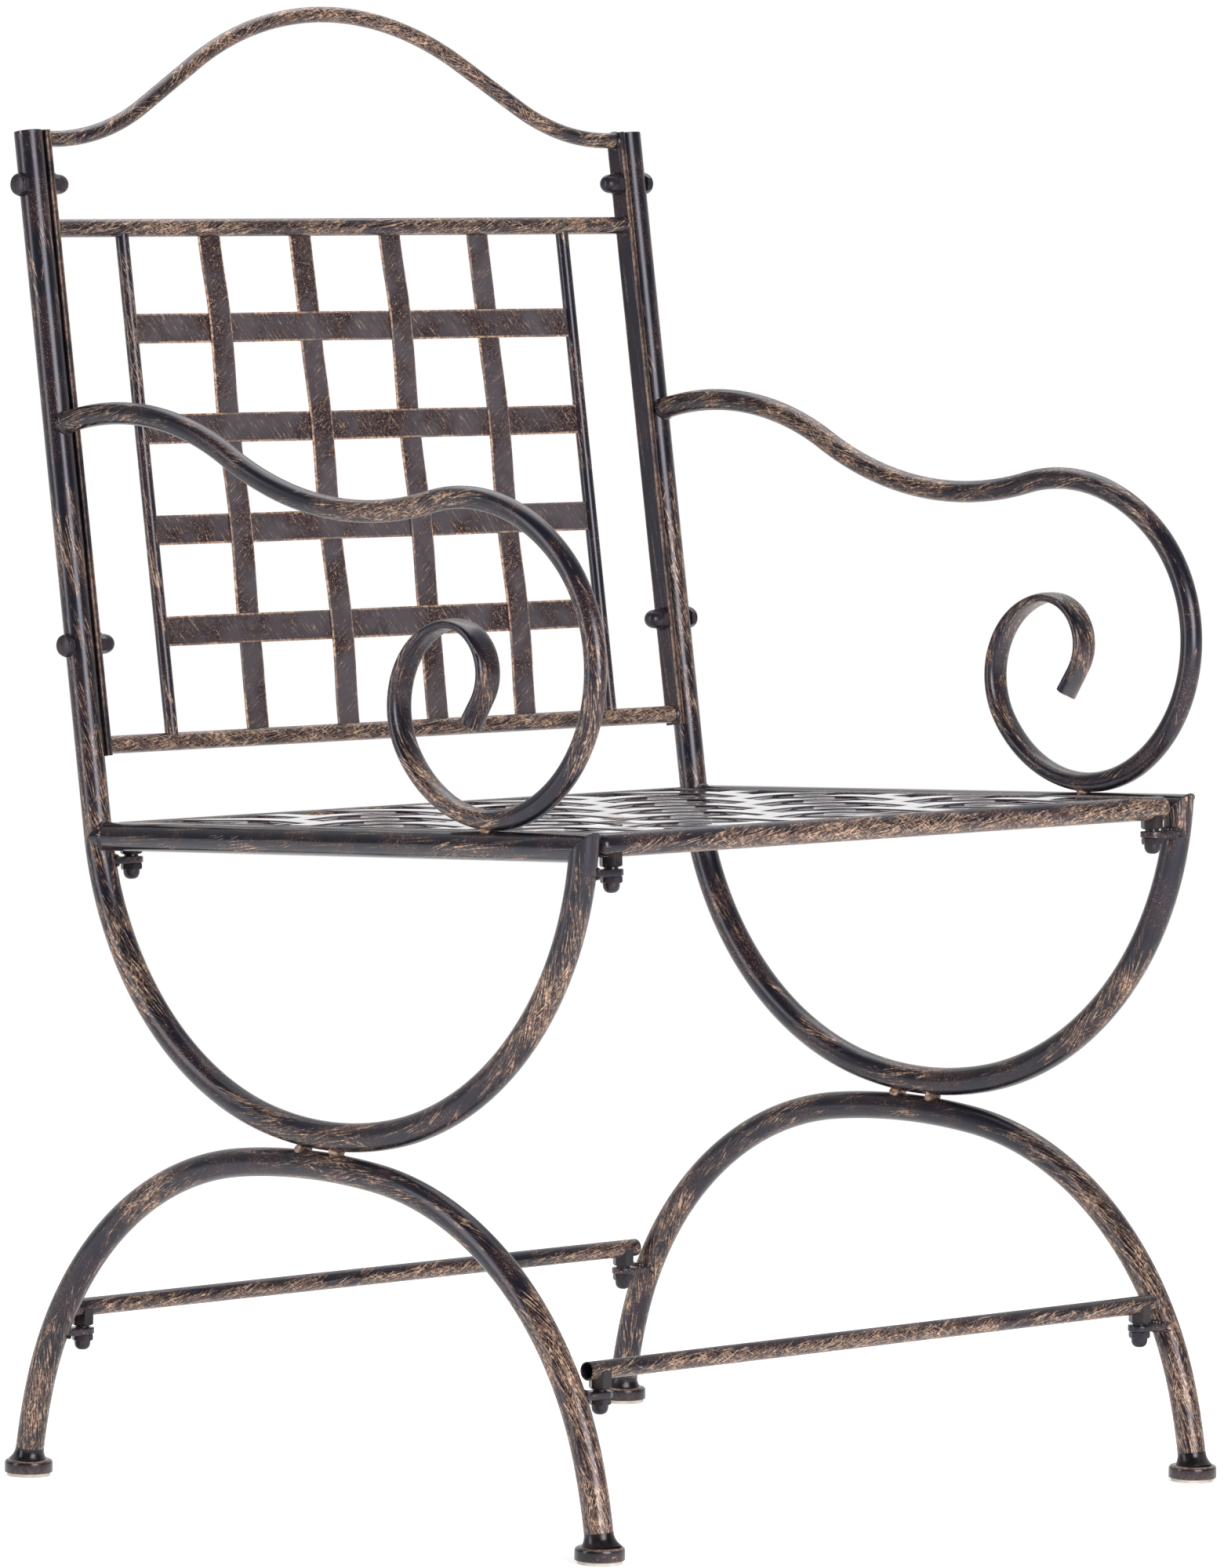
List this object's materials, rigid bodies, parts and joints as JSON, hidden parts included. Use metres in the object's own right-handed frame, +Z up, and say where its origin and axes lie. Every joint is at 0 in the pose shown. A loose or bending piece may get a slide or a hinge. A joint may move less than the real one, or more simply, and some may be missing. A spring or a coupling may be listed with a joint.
{
  "type": "garden armchair",
  "caption": "Garden armchair of bent steel tube with scrolled arms, half-round and arched side frames, and a seat and back woven from flat straps.",
  "frame": {"origin": "on the floor, in the middle of the chair's box", "axes": "+Z up; the chair faces -Y; +X is on the right of somebody who looks at its front"},
  "size_m": [0.5706, 0.5499, 0.9333],
  "materials": {
    "frame_paint": "near-black satin paint, dry-brushed by hand with antique bronze",
    "strap_paint": "brown-black satin paint with fine bronze scratches and rubbed edges",
    "weld_fitting_paint": "near-black paint, rubbed with bronze on the edges",
    "foot_cup_paint": "glossier black with a little rubbed bronze",
    "fastener_paint": "plain satin black",
    "glide_plastic": "off-white plastic, slightly worn"
  },
  "bodies": {
    "root": {"arm_pegs": "weld_fitting_paint", "back_bolts": "fastener_paint", "back_bottom_rail": "frame_paint", "back_cap_nuts": "fastener_paint", "back_crest": "frame_paint", "back_cross_strap_1": "strap_paint", "back_cross_strap_2": "strap_paint", "back_cross_strap_3": "strap_paint", "back_cross_strap_4": "strap_paint", "back_rod_left": "frame_paint", "back_rod_right": "frame_paint", "back_stile_left": "frame_paint", "back_stile_right": "frame_paint", "back_top_rail": "frame_paint", "back_upright_strap_1": "strap_paint", "back_upright_strap_2": "strap_paint", "back_upright_strap_3": "strap_paint", "back_upright_strap_4": "strap_paint", "bowl_pegs": "weld_fitting_paint", "foot_glides": "glide_plastic", "front_stretcher": "frame_paint", "left_arm_scroll": "frame_paint", "left_foot_cups": "foot_cup_paint", "left_leg_arch": "frame_paint", "left_post_bowl": "frame_paint", "left_seat_lugs": "weld_fitting_paint", "left_side_rail": "frame_paint", "left_stretcher_lugs": "weld_fitting_paint", "post_caps": "frame_paint", "rear_stretcher": "frame_paint", "right_arm_scroll": "frame_paint", "right_foot_cups": "foot_cup_paint", "right_leg_arch": "frame_paint", "right_post_bowl": "frame_paint", "right_seat_lugs": "weld_fitting_paint", "right_side_rail": "frame_paint", "right_stretcher_lugs": "weld_fitting_paint", "seat_cap_nuts": "fastener_paint", "seat_crosswise_strap_1": "strap_paint", "seat_crosswise_strap_2": "strap_paint", "seat_crosswise_strap_3": "strap_paint", "seat_crosswise_strap_4": "strap_paint", "seat_crosswise_strap_5": "strap_paint", "seat_front_rail": "frame_paint", "seat_lengthwise_strap_1": "strap_paint", "seat_lengthwise_strap_2": "strap_paint", "seat_lengthwise_strap_3": "strap_paint", "seat_lengthwise_strap_4": "strap_paint", "seat_lengthwise_strap_5": "strap_paint", "seat_lengthwise_strap_6": "strap_paint", "seat_lengthwise_strap_7": "strap_paint", "seat_rear_rail": "frame_paint", "seat_rod_left": "frame_paint", "seat_rod_right": "frame_paint", "seat_studs": "weld_fitting_paint", "stretcher_cap_nuts": "fastener_paint", "stretcher_studs": "weld_fitting_paint"}
  },
  "joints": []
}
